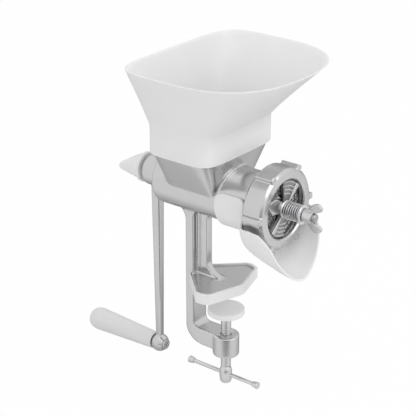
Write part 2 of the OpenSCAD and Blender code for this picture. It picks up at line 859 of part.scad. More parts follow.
// Spring: a round wire swept along a helix.
module adjusting_spring() color("silver") {
    n = ceil(spring_turns * rings_per_turn);
    coil_r = spring_r - wire_r;
    rise = spring_len - 2 * gap - 2 * wire_r;
    points = [for (i = [0 : n])
                 let (a = 360 * i / rings_per_turn,
                      x = spring_rear + wire_r + rise * i / n)
                 for (j = [0 : wire_sides - 1])
                     let (b = 360 * j / wire_sides,
                          r = coil_r + wire_r * cos(b))
                     [x + wire_r * sin(b), r * cos(a), axis_z + r * sin(a)]];
    walls = [for (i = [0 : n - 1])
                for (j = [0 : wire_sides - 1])
                    let (k = (j + 1) % wire_sides,
                         a = i * wire_sides)
                    each [[a + j, a + k, a + wire_sides + k], [a + j, a + wire_sides + k, a + wire_sides + j]]];
    ends = [[for (j = [wire_sides - 1 : -1 : 0]) j],
            [for (j = [0 : wire_sides - 1]) n * wire_sides + j]];
    polyhedron(points, concat(walls, ends), convexity = 10);
}

module spring_cup() color("silver")
    turned([[stem_r + running, cup_rear], [cup_r, cup_rear], [cup_r, cup_rear + 1.2],
            [cup_r - 2, cup_rear + cup_t], [stem_r + running, cup_rear + cup_t]]);

module wing_nut() color("silver")
    difference() {
        union() {
            turned([[0, nut_rear], [nut_r, nut_rear], [nut_r, nut_rear + 1.5],
                    [nut_r - 1.2, nut_rear + nut_len], [0, nut_rear + nut_len]]);
            for (a = [90, 270])
                translate([nut_rear, 0, axis_z])
                    rotate([a, 0, 0])
                        translate([0, 0, -1.4])
                            linear_extrude(2.8)
                                polygon(rounded([[2.5, nut_r - 2.5], [2.5, nut_r], [9, wing_span / 2 - 1.5],
                                                 [14, wing_span / 2], [19, wing_span / 2 - 3.5],
                                                 [17.5, nut_r + 1], [nut_len - 1, nut_r - 2.5]],
                                                [0, 1, 3, 3, 3, 3, 0], 4));
        }
        along(nut_rear - 1, nut_rear + nut_len + 1, stem_r + running);
    }

// ---- Clamp ----

module pad_disc() color("white")
    rotate_extrude()
        polygon([[0, pad_top], [pad_r - 1, pad_top], [pad_r, pad_top - 1],
                 [pad_r, pad_top - pad_t + 1], [pad_r - 1, pad_top - pad_t], [0, pad_top - pad_t]]);

module pad_socket() color("silver")
    difference() {
        translate([0, 0, socket_low])
            cylinder(h = socket_t, r = socket_r);
        translate([0, 0, socket_low - 1])
            cylinder(h = socket_t + 2, r = tip_r + running);
    }

// Thread as a row of ridges, one for each pitch.
function thread_points(z0, z1) =
    let (n = floor((z1 - z0) / screw_pitch),
         depth = screw_pitch * 0.5)
    [for (i = [0 : n - 1])
        let (z = z0 + i * screw_pitch)
        each [[screw_r - depth, z], [screw_r, z + screw_pitch * 0.4], [screw_r, z + screw_pitch * 0.6]]];

module clamp_screw() color("silver") {
    thread_low = hole_z + thead_len / 2;
    thread_top = socket_low - gap;
    difference() {
        union() {
            rotate_extrude()
                polygon(concat([[0, thread_low - 1], [screw_r - 1, thread_low - 1]],
                               thread_points(thread_low, thread_top - 1),
                               [[screw_r - 1, thread_top - 0.5], [tip_r, thread_top],
                                [tip_r, socket_top - gap], [0, socket_top - gap]]));
            rotate_extrude()
                polygon([[0, hole_z - thead_len / 2], [thead_r - 2, hole_z - thead_len / 2],
                         [thead_r - 0.6, hole_z - thead_len / 2 + 2], [thead_r, hole_z - 3],
                         [thead_r, hole_z + 3], [thead_r - 0.6, hole_z + thead_len / 2 - 2],
                         [thead_r - 2, hole_z + thead_len / 2], [0, hole_z + thead_len / 2]]);
        }
        along(-thead_r - 2, thead_r + 2, bar_r + running, z = hole_z);
    }
}

module bar_rod()
    along(bar_shift - bar_len / 2 + 2, bar_shift + bar_len / 2 - 2, bar_r, z = hole_z);

module tommy_bar() color("silver")
    bar_rod();

module bar_caps() color("silver")
    for (side = [-1, 1])
        difference() {
            translate([bar_shift + side * (bar_len / 2 - cap_len / 2), 0, hole_z])
                rotate([0, 90, 0])
                    rotate_extrude()
                        polygon([[0, -cap_len / 2], [cap_r - 1, -cap_len / 2], [cap_r, -cap_len / 2 + 1],
                                 [cap_r, cap_len / 2 - 1], [cap_r - 1, cap_len / 2], [0, cap_len / 2]]);
            bar_rod();
        }

mill_body();
rear_bush();
fixed_burr();
burr_dowels();
jaw_shoe();
hopper();
chute();
ring_nut();
main_shaft();
feed_screw();
screw_cross_pin();
thrust_washer();
crank_arm();
hub_washer();
grip_spindle();
grip_washer();
rotating_burr();
adjusting_spring();
spring_cup();
wing_nut();
crank_screw_stud();
crank_screw_wing();
handle_grip();
grip_plug();
pad_disc();
pad_socket();
clamp_screw();
tommy_bar();
bar_caps();
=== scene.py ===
# Dresses the solids of a hand crank table mill with detailed pieces and finishes.
# The origin is in the underside of the upper jaw, +X runs towards the outlet and +Z is up.
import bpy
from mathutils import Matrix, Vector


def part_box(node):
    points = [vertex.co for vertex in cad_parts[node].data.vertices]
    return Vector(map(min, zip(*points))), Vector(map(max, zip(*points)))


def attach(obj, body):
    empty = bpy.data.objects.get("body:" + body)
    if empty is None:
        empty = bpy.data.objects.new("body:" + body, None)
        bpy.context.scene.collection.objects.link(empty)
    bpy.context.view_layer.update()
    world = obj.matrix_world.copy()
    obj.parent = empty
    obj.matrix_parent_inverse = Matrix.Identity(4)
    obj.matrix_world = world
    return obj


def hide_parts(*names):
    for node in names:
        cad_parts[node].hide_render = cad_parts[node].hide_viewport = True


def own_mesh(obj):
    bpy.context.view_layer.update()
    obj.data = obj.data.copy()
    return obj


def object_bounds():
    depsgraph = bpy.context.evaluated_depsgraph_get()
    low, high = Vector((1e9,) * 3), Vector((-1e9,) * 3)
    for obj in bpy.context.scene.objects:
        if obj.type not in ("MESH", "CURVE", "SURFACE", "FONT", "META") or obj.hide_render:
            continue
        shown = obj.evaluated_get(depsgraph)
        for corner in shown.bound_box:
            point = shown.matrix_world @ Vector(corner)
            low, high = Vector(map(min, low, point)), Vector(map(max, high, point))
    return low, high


bl_info = {
    "name": "Hand Crank Table Mill",
    "version": (1, 0, 0),
    "blender": (4, 5, 0),
    "location": "View3D > Sidebar > Table Mill",
    "description": "Dresses the solids of a hand crank table mill with detailed pieces and finishes",
    "category": "Object",
}

from math import copysign, cos, pi, radians, sin

import bmesh
import bpy
from bpy.props import FloatProperty, FloatVectorProperty, IntProperty, PointerProperty
from bpy.types import Operator, Panel, PropertyGroup
from mathutils import Matrix, Vector

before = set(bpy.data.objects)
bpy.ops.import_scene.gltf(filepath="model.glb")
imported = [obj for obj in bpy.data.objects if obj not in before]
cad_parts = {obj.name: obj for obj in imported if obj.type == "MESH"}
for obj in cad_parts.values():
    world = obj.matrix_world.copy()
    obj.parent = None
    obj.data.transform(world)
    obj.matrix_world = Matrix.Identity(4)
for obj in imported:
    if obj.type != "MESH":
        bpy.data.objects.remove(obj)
CAD_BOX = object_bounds()
MM = 0.001
ALONG = Vector((1, 0, 0))
UP = Vector((0, 0, 1))
# Lowest and highest corner of each CAD node's box.
BOXES = {node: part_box(node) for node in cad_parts}


def low(node):
    """Lowest corner of a CAD node."""
    return BOXES[node][0]


def high(node):
    """Highest corner of a CAD node."""
    return BOXES[node][1]


def middle(node):
    """Centre of a CAD node's box."""
    return (low(node) + high(node)) / 2


BARREL = Vector((0, 0, middle("rear_bush").z))
HANDLE = Vector((0, 0, middle("handle_grip").z))


# ---- Settings ----


def length(name, text, default, least=0):
    """A length that the user can set."""
    return FloatProperty(name=name, description=text, default=default, min=least, unit="LENGTH", precision=5)


def angle(name, text, degrees):
    """An angle that the user can set."""
    return FloatProperty(name=name, description=text, default=radians(degrees), subtype="ANGLE")


def number(name, text, default, least=0):
    """A plain number that the user can set."""
    return FloatProperty(name=name, description=text, default=default, min=least)


def count(name, text, default, least=0):
    """A whole number that the user can set."""
    return IntProperty(name=name, description=text, default=default, min=least)


def vector(name, text, default, unit="NONE"):
    """A direction or a point that the user can set."""
    return FloatVectorProperty(name=name, description=text, default=default, unit=unit)


def colour(name, text, default):
    """A colour that the user can set."""
    return FloatVectorProperty(name=name, description=text, default=default, min=0, max=1, subtype="COLOR")


class CastingSettings(PropertyGroup):
    """Body casting"""

    voxel: length("Grain of the mesh", "Size of the cells that round the casting's edges", 1.03 * MM)
    passes: count("Rounding", "Smoothing passes over the edges", 8)


class HopperSettings(PropertyGroup):
    """Hopper"""

    wall: length("Wall", "Thickness of the hopper's wall", 2.0 * MM)
    neck_length: length("Neck length", "Length of the neck along the barrel", 76.5 * MM)
    neck_width: length("Neck width", "Width of the neck across the barrel", 107 * MM)
    neck_height: length("Neck height", "Height of the upright neck", 26 * MM)
    neck_centre: length("Neck centre", "Place of the neck's centre", -18.75 * MM, -1)
    neck_power: number("Neck corners", "Squareness of the neck's outline, where 2 is an ellipse", 5.5)
    rear_power: number("Rear corners", "Squareness of the rim's outline behind", 5.2)
    front_power: number("Front corners", "Squareness of the rim's outline in front", 2.55)
    flare_power: number("Flare", "Bend of the flare, where 1 is straight", 1.08)
    ledge: length("Ledge", "Width of the inner ledge that rests on the collar", 4 * MM)
    ledge_height: length("Ledge height", "Height of the ledge above the skirt", 10.8 * MM)
    edge: length("Edge", "Rounding of the edges", 0.6 * MM)
    flares: count("Flare rows", "Rows of faces up the flare", 14, 2)
    steps: count("Steps", "Points round the hopper", 160, 32)


class ChuteSettings(PropertyGroup):
    """Chute"""

    wall: length("Wall", "Thickness of the chute's wall", 2.0 * MM)
    voxel: length("Grain of the mesh", "Size of the cells that join clip and trough", 0.7 * MM)
    clip_front: length("Clip front", "Front edge of the clip", 41.5 * MM)
    clip_wall: length("Clip wall", "Thickness of the clip", 2.8 * MM)
    trough_height: length("Trough height", "Depth of the trough's top below the barrel's axis", 9.6 * MM)
    room: length("Room", "Radius that the ring nut's ribs need", 42.3 * MM)
    lip_half: length("Lip width", "Half width of the trough at its lip", 38 * MM)
    lip_height: length("Lip height", "Height of the lip's corners above its underside", 42.5 * MM)
    lip_lean: length("Lip lean", "Distance of the lip's corners behind its front", 11.5 * MM)


class BurrSettings(PropertyGroup):
    """Burrs"""

    lobe_angle: angle("Lobe angle", "Turn of the first lobe", 66)
    lobe_half: angle("Lobe half", "Half of the angle that a lobe fills", 27)
    lobe: length("Lobe", "Thickness of the lobes", 3.2 * MM)
    edge: length("Raised edge", "Height of the raised edge over the lobe", 2.2 * MM)
    hub: length("Hub", "Radius of the turning burr's hub", 8.5 * MM)
    tooth: length("Tooth", "Radius of a tooth at its foot", 1.2 * MM)


class ShaftSettings(PropertyGroup):
    """Feed screw"""

    pitch: length("Pitch", "Pitch of the feed screw's flight", 30 * MM)
    reach: length("Reach", "Radius of the feed screw over its flight", 20.4 * MM)
    flight: length("Flight", "Thickness of the flight across the axis", 5 * MM)
    core: length("Core", "Radius of the feed screw's core", 9 * MM)
    bore: length("Bore", "Radius of the hole through the feed screw", 6.05 * MM)


class AdjusterSettings(PropertyGroup):
    """Spring, cup and wing nut"""

    wire: length("Wire", "Radius of the spring's wire", 0.65 * MM)
    turns: number("Turns", "Turns of the spring", 6.5, 1)
    burr_travel: length("Burr travel", "Travel of the burr against the spring's rear end", 1.5 * MM)
    nut_travel: length("Nut travel", "Travel of the wing nut against the spring's front end", 4 * MM)
    cup_bore: length("Cup bore", "Radius of the hole through the cup", 4.05 * MM)
    cup_edge: length("Cup edge", "Width of the cup's straight edge", 1.4 * MM)
    cup_slope: length("Cup slope", "Narrowing of the cup towards the wing nut", 1.6 * MM)


class CrankSettings(PropertyGroup):
    """Crank"""

    voxel: length("Grain of the mesh", "Size of the cells that round the crank's edges", 0.6 * MM)
    passes: count("Rounding", "Smoothing passes over the edges", 8)


class GripSettings(PropertyGroup):
    """Grip"""

    near: length("Near end", "Radius of the grip beside the crank's ball", 8.8 * MM)
    bore: length("Bore", "Radius of the hole for the spindle", 3.05 * MM)
    pocket: length("Pocket", "Radius of the pocket for the spindle's nut", 5.5 * MM)
    pocket_depth: length("Pocket depth", "Depth of the pocket for the spindle's nut", 9 * MM)
    cup: length("Cup", "Radius inside the rim that reaches over the crank's ball", 7.3 * MM)
    cup_depth: length("Cup depth", "Depth of the rim that reaches over the crank's ball", 4 * MM)


class ClampSettings(PropertyGroup):
    """Clamp screw"""

    pitch: length("Pitch", "Pitch of the clamp screw's thread", 1.75 * MM)
    depth: length("Thread depth", "Depth of the thread's grooves", 0.3 * MM)
    rod: length("Rod", "Radius of the clamp screw over its thread", 5 * MM)
    tip: length("Tip", "Radius of the clamp screw's plain tip", 4 * MM)
    head: length("Head", "Length of the clamp screw's head", 18 * MM)
    pad_edge: length("Pad edge", "Rounding of the pad's edges", 1.1 * MM)


class FinishSettings(PropertyGroup):
    """Colours"""

    casting: colour("Casting", "Tinned casting", (0.6, 0.6, 0.6))
    plastic: colour("Plastic", "White moulded plastic", (0.83, 0.83, 0.83))
    grip: colour("Grip", "Plastic of the grip", (0.74, 0.74, 0.74))
    steel: colour("Steel", "Zinc plated steel", (0.66, 0.66, 0.67))
    spring: colour("Spring", "Bright spring steel", (0.62, 0.62, 0.63))
    shaft: colour("Shaft", "Dark steel of the shaft", (0.45, 0.45, 0.45))
    burr: colour("Burrs", "Dark burr iron", (0.3, 0.3, 0.3))
    arms: colour("Burr arms", "Bare iron of the raised arms", (0.6, 0.6, 0.6))
    bronze: colour("Bronze", "Bearing bronze", (0.55, 0.38, 0.16))


class StageSettings(PropertyGroup):
    """Camera, lamps and room"""

    azimuth: angle("Azimuth", "Camera's turn round the mill", 38.4)
    elevation: angle("Elevation", "Camera's height angle", 23.75)
    distance: length("Distance", "Distance from the camera to its target", 1.340)
    target: vector("Target", "Point that the camera looks at", (-0.0329, 0.01335, 0.0703), "LENGTH")
    lens: number("Lens", "Focal length in millimetres", 121.15, 1)
    floor_drop: length("Floor drop", "Floor's depth below the mill, for the clamp screw's way", 16.5 * MM)
    world: number("Room light", "Strength of the light from all round", 0.9)
    key: number("Key light", "Power of the large lamp in watts", 5)
    top: number("Top light", "Power of the lamp overhead in watts", 2)
    dark: vector("Dark side", "Direction of the room's dark side in reflections", (-0.55, 0.68, -0.48))
    patch: vector("Dark patch", "Direction of a small dark patch in reflections", (0.56, -0.72, -0.40))
    bright: number("Bright", "Light of the room's bright side in reflections", 1.0)
    dim: number("Dim", "Light of the room's dark side in reflections", 0.25)


SETTINGS = {
    "mill_casting": CastingSettings,
    "mill_hopper": HopperSettings,
    "mill_chute": ChuteSettings,
    "mill_burrs": BurrSettings,
    "mill_shaft": ShaftSettings,
    "mill_adjuster": AdjusterSettings,
    "mill_crank": CrankSettings,
    "mill_grip": GripSettings,
    "mill_clamp": ClampSettings,
    "mill_finish": FinishSettings,
    "mill_stage": StageSettings,
}


# ---- Mesh helpers ----


def close_up(bm):
    """Joins the points that meet and turns the faces outwards."""
    bmesh.ops.remove_doubles(bm, verts=bm.verts[:], dist=1e-6)
    bmesh.ops.recalc_face_normals(bm, faces=bm.faces[:])


def turned(bm, outline, centre, axis=ALONG, steps=72):
    """Spins an outline of (distance along the axis, radius); one that starts off the axis is closed first."""
    side = axis.orthogonal().normalized()
    verts = [bm.verts.new(centre + axis * along + side * radius) for along, radius in outline]
    edges = [bm.edges.new(pair) for pair in zip(verts, verts[1:])]
    if outline[0][1] > 0:
        edges.append(bm.edges.new((verts[-1], verts[0])))
    bmesh.ops.spin(bm, geom=verts + edges, cent=centre, axis=axis, angle=2 * pi, steps=steps, use_merge=True)
    close_up(bm)


def sharp_edges(edges, degrees):
    """Those of the edges whose two faces meet at more than the given angle."""
    limit = radians(degrees)
    return [edge for edge in edges if len(edge.link_faces) == 2 and edge.calc_face_angle(0) > limit]


def rounded(bm, edges, width, segments):
    """Rounds the given edges."""
    bmesh.ops.bevel(
        bm, geom=edges, offset=width, segments=segments, profile=0.5,
        affect="EDGES", material=-1, clamp_overlap=True,
    )


def soften(bm, width, segments=3, degrees=32):
    """Rounds the sharp edges."""
    rounded(bm, sharp_edges(bm.edges, degrees), width, segments)


def close_ends(bm):
    """Fills the open ends of a shape."""
    bmesh.ops.holes_fill(bm, edges=[edge for edge in bm.edges if edge.is_boundary], sides=0)


def wound(bm, ring, edges, rear, front, turns, per_turn):
    """Winds a cross-section into a helix along the barrel, and closes its ends."""
    steps = round(turns * per_turn)
    bmesh.ops.spin(
        bm, geom=ring + edges, cent=(rear, 0, BARREL.z), axis=ALONG, angle=2 * pi * turns,
        steps=steps, dvec=ALONG * (front - rear) / steps,
    )
    close_ends(bm)
    bmesh.ops.recalc_face_normals(bm, faces=bm.faces[:])


def wrapped(bm, around, along, place, closed):
    """Lays a grid over the places that place(i, k) gives, and joins its seam where it is closed."""
    bmesh.ops.create_grid(bm, x_segments=around, y_segments=along, size=1)
    for vert in bm.verts:
        i = round((vert.co.x + 1) / 2 * around)
        k = round((vert.co.y + 1) / 2 * along)
        vert.co = place(i % around if closed else i, k)
    close_up(bm)


def plate(bm, outline, matrix, thickness, width):
    """Solid plate with a flat outline, to both sides of its plane, with rounded edges."""
    foot = bm.faces.new([bm.verts.new(matrix @ Vector((x, y, -thickness / 2))) for x, y in outline])
    grown = bmesh.ops.extrude_face_region(bm, geom=[foot])["geom"]
    upper = [part for part in grown if isinstance(part, bmesh.types.BMVert)]
    bmesh.ops.translate(bm, vec=matrix.to_3x3() @ UP * thickness, verts=upper)
    faces = [foot, *dict.fromkeys(face for vert in upper for face in vert.link_faces)]
    bmesh.ops.recalc_face_normals(bm, faces=faces)
    edges = dict.fromkeys(edge for face in faces for edge in face.edges)
    rounded(bm, sharp_edges(edges, 32), width, 3)


def new_object(name, data):
    """Object in the scene with the given mesh, lamp or camera."""
    made = bpy.data.objects.new(name, data)
    bpy.context.scene.collection.objects.link(made)
    return made


def object_of(name, bm):
    """Object of a bmesh, in the scene."""
    mesh = bpy.data.meshes.new(name)
    bm.to_mesh(mesh)
    bm.free()
    return new_object(name, mesh)


def piece_from(name, bm, finish, body, nodes, sharp=35):
    """Makes an object of a bmesh, which rides on a body and stands for CAD nodes."""
    return dressed(object_of(name, bm), finish, body, nodes, sharp)


def dressed(piece, finish, body, nodes, sharp=35):
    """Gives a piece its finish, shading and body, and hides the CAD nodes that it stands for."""
    mesh = piece.data
    mesh.materials.clear()
    mesh.materials.append(FINISHES[finish])
    mesh.shade_smooth()
    mesh.set_sharp_from_angle(angle=radians(sharp))
    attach(piece, body)
    if nodes:
        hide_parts(*nodes)
    return piece


def node_copy(node):
    """Bmesh of a CAD node with its loose triangles joined."""
    bm = bmesh.new()
    bm.from_mesh(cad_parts[node].data)
    bmesh.ops.remove_doubles(bm, verts=bm.verts[:], dist=2e-6)
    return bm


def bake_modifiers(piece):
    """Applies a piece's modifiers."""
    graph = bpy.context.evaluated_depsgraph_get()
    mesh = bpy.data.meshes.new_from_object(piece.evaluated_get(graph))
    piece.modifiers.clear()
    piece.data = mesh


def cast(name, bm, voxel, passes):
    """Object of a bmesh whose pieces are joined and whose edges are rounded like a casting's."""
    piece = object_of(name, bm)
    cells = piece.modifiers.new("Cells", "REMESH")
    cells.mode = "VOXEL"
    cells.voxel_size = voxel
    if passes:
        rounding = piece.modifiers.new("Rounding", "SMOOTH")
        rounding.factor = 0.5
        rounding.iterations = passes
    bake_modifiers(piece)
    return piece


def cast_copy(name, node, body, finish, voxel, passes):
    """Piece in a CAD node's shape, with a casting's rounded edges."""
    piece = cast(name, node_copy(node), voxel, passes)
    return dressed(piece, finish, body, [node], sharp=60)


# ---- Finishes ----


def effect(name, inputs, outputs):
    """Empty shader node group with the given inputs and outputs: their name, kind and first value."""
    group = bpy.data.node_groups.new(name, "ShaderNodeTree")
    for label, kind, value in inputs:
        socket = group.interface.new_socket(label, in_out="INPUT", socket_type="NodeSocket" + kind)
        socket.default_value = value
    for label, kind in outputs:
        group.interface.new_socket(label, in_out="OUTPUT", socket_type="NodeSocket" + kind)
    return group, group.nodes.new("NodeGroupInput").outputs, group.nodes.new("NodeGroupOutput")


def feed(tree, node, given):
    """Gives a node's inputs their values or links."""
    for key, value in given.items():
        if isinstance(value, bpy.types.NodeSocket):
            tree.links.new(value, node.inputs[key])
        else:
            node.inputs[key].default_value = value


def fed(tree, kind, given, operation=None):
    """Outputs of a new shader node whose inputs have the given values or links."""
    node = tree.nodes.new(kind)
    if operation:
        node.operation = operation
    feed(tree, node, given)
    return node.outputs


def noise(tree, vector, scale, detail):
    """Noise texture on the given coordinates."""
    given = {"Vector": vector, "Scale": scale, "Detail": detail, "Roughness": 0.55}
    return fed(tree, "ShaderNodeTexNoise", given)["Fac"]


def spread(tree, value, low_in, high_in, low_out, high_out):
    """Maps a value from one range to another and keeps it there."""
    given = {"Value": value, "From Min": low_in, "From Max": high_in, "To Min": low_out, "To Max": high_out}
    return fed(tree, "ShaderNodeMapRange", given)["Result"]


def calc(tree, operation, a, b):
    """Math node on two values."""
    return fed(tree, "ShaderNodeMath", {0: a, 1: b}, operation)[0]


def tinted(tree, base, value):
    """Colour multiplied by a value."""
    return fed(tree, "ShaderNodeVectorMath", {0: base, "Scale": value}, "SCALE")[0]


def make_grain():
    """Fine pits of a cast or moulded skin: a height for a Bump node."""
    group, given, out = effect(
        "Skin Grain",
        [("Vector", "Vector", (0, 0, 0)), ("Scale", "Float", 900.0)],
        [("Height", "Float")],
    )
    fine = noise(group, given["Vector"], given["Scale"], 3)
    wide = noise(group, given["Vector"], calc(group, "MULTIPLY", given["Scale"], 0.12), 3)
    height = calc(group, "ADD", calc(group, "MULTIPLY", fine, 0.6), calc(group, "MULTIPLY", wide, 0.4))
    feed(group, out, {"Height": height})
    return group


def make_handling():
    """Patches of handling and dulling: a colour and a roughness that wander about their own values."""
    group, given, out = effect(
        "Handling Marks",
        [
            ("Vector", "Vector", (0, 0, 0)),
            ("Colour", "Color", (0.5, 0.5, 0.5, 1)),
            ("Scale", "Float", 30.0),
            ("Depth", "Float", 0.06),
            ("Smooth", "Float", 0.25),
            ("Rough", "Float", 0.4),
        ],
        [("Colour", "Color"), ("Roughness", "Float")],
    )
    patches = noise(group, given["Vector"], given["Scale"], 5)
    shade = spread(group, patches, 0.3, 0.7, calc(group, "SUBTRACT", 1.0, given["Depth"]), 1.0)
    smears = noise(group, given["Vector"], calc(group, "MULTIPLY", given["Scale"], 2.7), 4)
    rough = spread(group, smears, 0.32, 0.68, given["Smooth"], given["Rough"])
    feed(group, out, {"Colour": tinted(group, given["Colour"], shade), "Roughness": rough})
    return group


def make_painted_edge_light_and_shade():
    """Painted highlights on the edges and painted shade in the hollows and creases, from the shape's own
    curvature.
    """
    group, given, out = effect(
        "Painted Edge Light And Shade",
        [("Colour", "Color", (0.5, 0.5, 0.5, 1)), ("Amount", "Float", 0.3)],
        [("Colour", "Color")],
    )
    shape = group.nodes.new("ShaderNodeNewGeometry").outputs["Pointiness"]
    # Sharp edges get a painted highlight, and hollows and creases get a painted shade.
    edges = spread(group, shape, 0.55, 0.64, 0.0, 1.0)
    painted_crease_shade = spread(group, shape, 0.34, 0.45, 1.0, 0.0)
    change = calc(group, "SUBTRACT", edges, painted_crease_shade)
    factor = calc(group, "ADD", 1.0, calc(group, "MULTIPLY", change, given["Amount"]))
    feed(group, out, {"Colour": tinted(group, given["Colour"], factor)})
    return group


def make_turning():
    """Fine rings left by turning on a lathe, as a height."""
    group, given, out = effect(
        "Turning Marks",
        [("Vector", "Vector", (0, 0, 0)), ("Stretch", "Vector", (1, 1, 1))],
        [("Height", "Float")],
    )
    stretch = {0: given["Vector"], 1: given["Stretch"]}
    stretched = fed(group, "ShaderNodeVectorMath", stretch, "MULTIPLY")[0]
    feed(group, out, {"Height": noise(group, stretched, 1.0, 2)})
    return group


GROUPS = {}
FINISHES = {}


def use(tree, name, **values):
    """Outputs of a shared effect, placed in a material with its own values or links."""
    node = tree.nodes.new("ShaderNodeGroup")
    node.node_tree = GROUPS[name]
    feed(tree, node, values)
    return node.outputs


def new_finish(name):
    """Material with its shader and Object coordinates."""
    material = bpy.data.materials.new(name)
    material.use_nodes = True
    tree = material.node_tree
    shader = tree.nodes["Principled BSDF"]
    place = tree.nodes.new("ShaderNodeTexCoord").outputs["Object"]
    FINISHES[name] = material
    return tree, shader, place


def bump(tree, shader, height, distance):
    """Feeds a height to the shader's normal."""
    given = {"Strength": 1.0, "Distance": distance, "Height": height}
    feed(tree, shader, {"Normal": fed(tree, "ShaderNodeBump", given)["Normal"]})


def handled(tree, shader, place, base, smooth, rough, patches, dull):
    """Feeds the colour and roughness of the handling marks to the shader."""
    marks = use(
        tree, "Handling Marks",
        Vector=place, Colour=base, Scale=patches, Depth=dull, Smooth=smooth, Rough=rough,
    )
    feed(tree, shader, {"Base Color": marks["Colour"], "Roughness": marks["Roughness"]})


def metal_finish(name, rgb, smooth, rough, grain, pits, edge_light_and_shade, dull=0.08):
    """Metal with a cast or ground skin of a grain and depth of pits, handling marks, painted highlights on
    its edges and painted shade in its hollows.
    """
    tree, shader, place = new_finish(name)
    # The base colour gets painted highlights on the edges and painted shade in the hollows.
    painted_edge_colour = use(tree, "Painted Edge Light And Shade", Colour=(*rgb, 1), Amount=edge_light_and_shade)["Colour"]
    handled(tree, shader, place, painted_edge_colour, smooth, rough, patches=30.0, dull=dull)
    feed(tree, shader, {"Metallic": 1.0})
    bump(tree, shader, use(tree, "Skin Grain", Vector=place, Scale=grain)["Height"], pits)


def turned_finish(name, rgb, smooth, rough, stretch):
    """Metal with the fine rings of a lathe."""
    tree, shader, place = new_finish(name)
    handled(tree, shader, place, (*rgb, 1), smooth, rough, patches=60.0, dull=0.1)
    feed(tree, shader, {"Metallic": 1.0})
    rings = use(tree, "Turning Marks", Vector=place, Stretch=stretch)["Height"]
    bump(tree, shader, rings, 0.01 * MM)


def plastic_finish(name, rgb, smooth, rough, grain, pits):
    """Moulded plastic with a fine skin and faint handling marks."""
    tree, shader, place = new_finish(name)
    handled(tree, shader, place, (*rgb, 1), smooth, rough, patches=22.0, dull=0.03)
    feed(tree, shader, {
        "IOR": 1.46,
        "Subsurface Weight": 0.12,
        "Subsurface Radius": (1.0, 1.0, 0.95),
        "Subsurface Scale": 2 * MM,
    })
    bump(tree, shader, use(tree, "Skin Grain", Vector=place, Scale=grain)["Height"], pits)


class MILL_OT_finishes(Operator):
    """Make the shared effects and the finish of every kind of piece"""

    bl_idname = "mill.finishes"
    bl_label = "Finishes"

    def execute(self, context):
        s = context.scene.mill_finish
        GROUPS["Skin Grain"] = make_grain()
        GROUPS["Handling Marks"] = make_handling()
        GROUPS["Painted Edge Light And Shade"] = make_painted_edge_light_and_shade()
        GROUPS["Turning Marks"] = make_turning()
        # The edge amounts set how strong the painted edge highlights and painted crease shade are.
        metal_finish(
            "tinned_casting", s.casting, smooth=0.2, rough=0.28, grain=900.0, pits=0.006 * MM, edge_light_and_shade=0.4,
            dull=0.05,
        )
        metal_finish("burr_iron", s.burr, smooth=0.3, rough=0.5, grain=1400.0, pits=0.05 * MM, edge_light_and_shade=0.5)
        metal_finish("burr_arms", s.arms, smooth=0.22, rough=0.34, grain=1400.0, pits=0.02 * MM, edge_light_and_shade=0.3)
        metal_finish("wing_steel", s.steel, smooth=0.22, rough=0.34, grain=1300.0, pits=0.03 * MM, edge_light_and_shade=0.3)
        along = (2600, 120, 120)
        upright = (120, 120, 2600)
        even = (300, 300, 300)
        turned_finish("zinc_steel", s.steel, smooth=0.16, rough=0.28, stretch=along)
        turned_finish("shaft_steel", s.shaft, smooth=0.3, rough=0.45, stretch=along)
        turned_finish("upright_steel", s.steel, smooth=0.16, rough=0.28, stretch=upright)
        turned_finish("spring_steel", s.spring, smooth=0.16, rough=0.26, stretch=even)
        turned_finish("bearing_bronze", s.bronze, smooth=0.25, rough=0.4, stretch=along)
        plastic_finish("white_plastic", s.plastic, smooth=0.38, rough=0.48, grain=700.0, pits=0.02 * MM)
        plastic_finish("grip_plastic", s.grip, smooth=0.3, rough=0.4, grain=900.0, pits=0.015 * MM)
        return {"FINISHED"}


# ---- Pieces ----


def flat_finish(node, finish):
    """Gives a CAD node that keeps its shape its finish."""
    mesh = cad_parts[node].data
    mesh.materials.clear()
    mesh.materials.append(FINISHES[finish])


class MILL_OT_casting(Operator):
    """Cast body with its rounded edges, and the bush in its rear end"""

    bl_idname = "mill.casting"
    bl_label = "Body casting"

    def execute(self, context):
        s = context.scene.mill_casting
        cast_copy(
            "body_casting", "mill_body", "mill_frame", "tinned_casting", voxel=s.voxel, passes=s.passes
        )
        flat_finish("rear_bush", "bearing_bronze")
        flat_finish("burr_dowels", "zinc_steel")
        return {"FINISHED"}


class MILL_OT_jaw_shoe(Operator):
    """Plastic shoe round the upper jaw"""

    bl_idname = "mill.jaw_shoe"
    bl_label = "Jaw shoe"

    def execute(self, context):
        cast_copy("jaw_shoe_cover", "jaw_shoe", "mill_frame", "white_plastic", voxel=0.5 * MM, passes=4)
        return {"FINISHED"}


def squared(value, square):
    """Sine or cosine for a point of an oval with squared corners."""
    return copysign(abs(value) ** (2 / square), value)


def oval(turn, rear, front, half_width, rear_power, front_power):
    """Point of a squared oval with its own reach and squareness behind and in front."""
    reach, square = (rear, rear_power) if cos(turn) < 0 else (front, front_power)
    return reach * squared(cos(turn), square), half_width * squared(sin(turn), square)


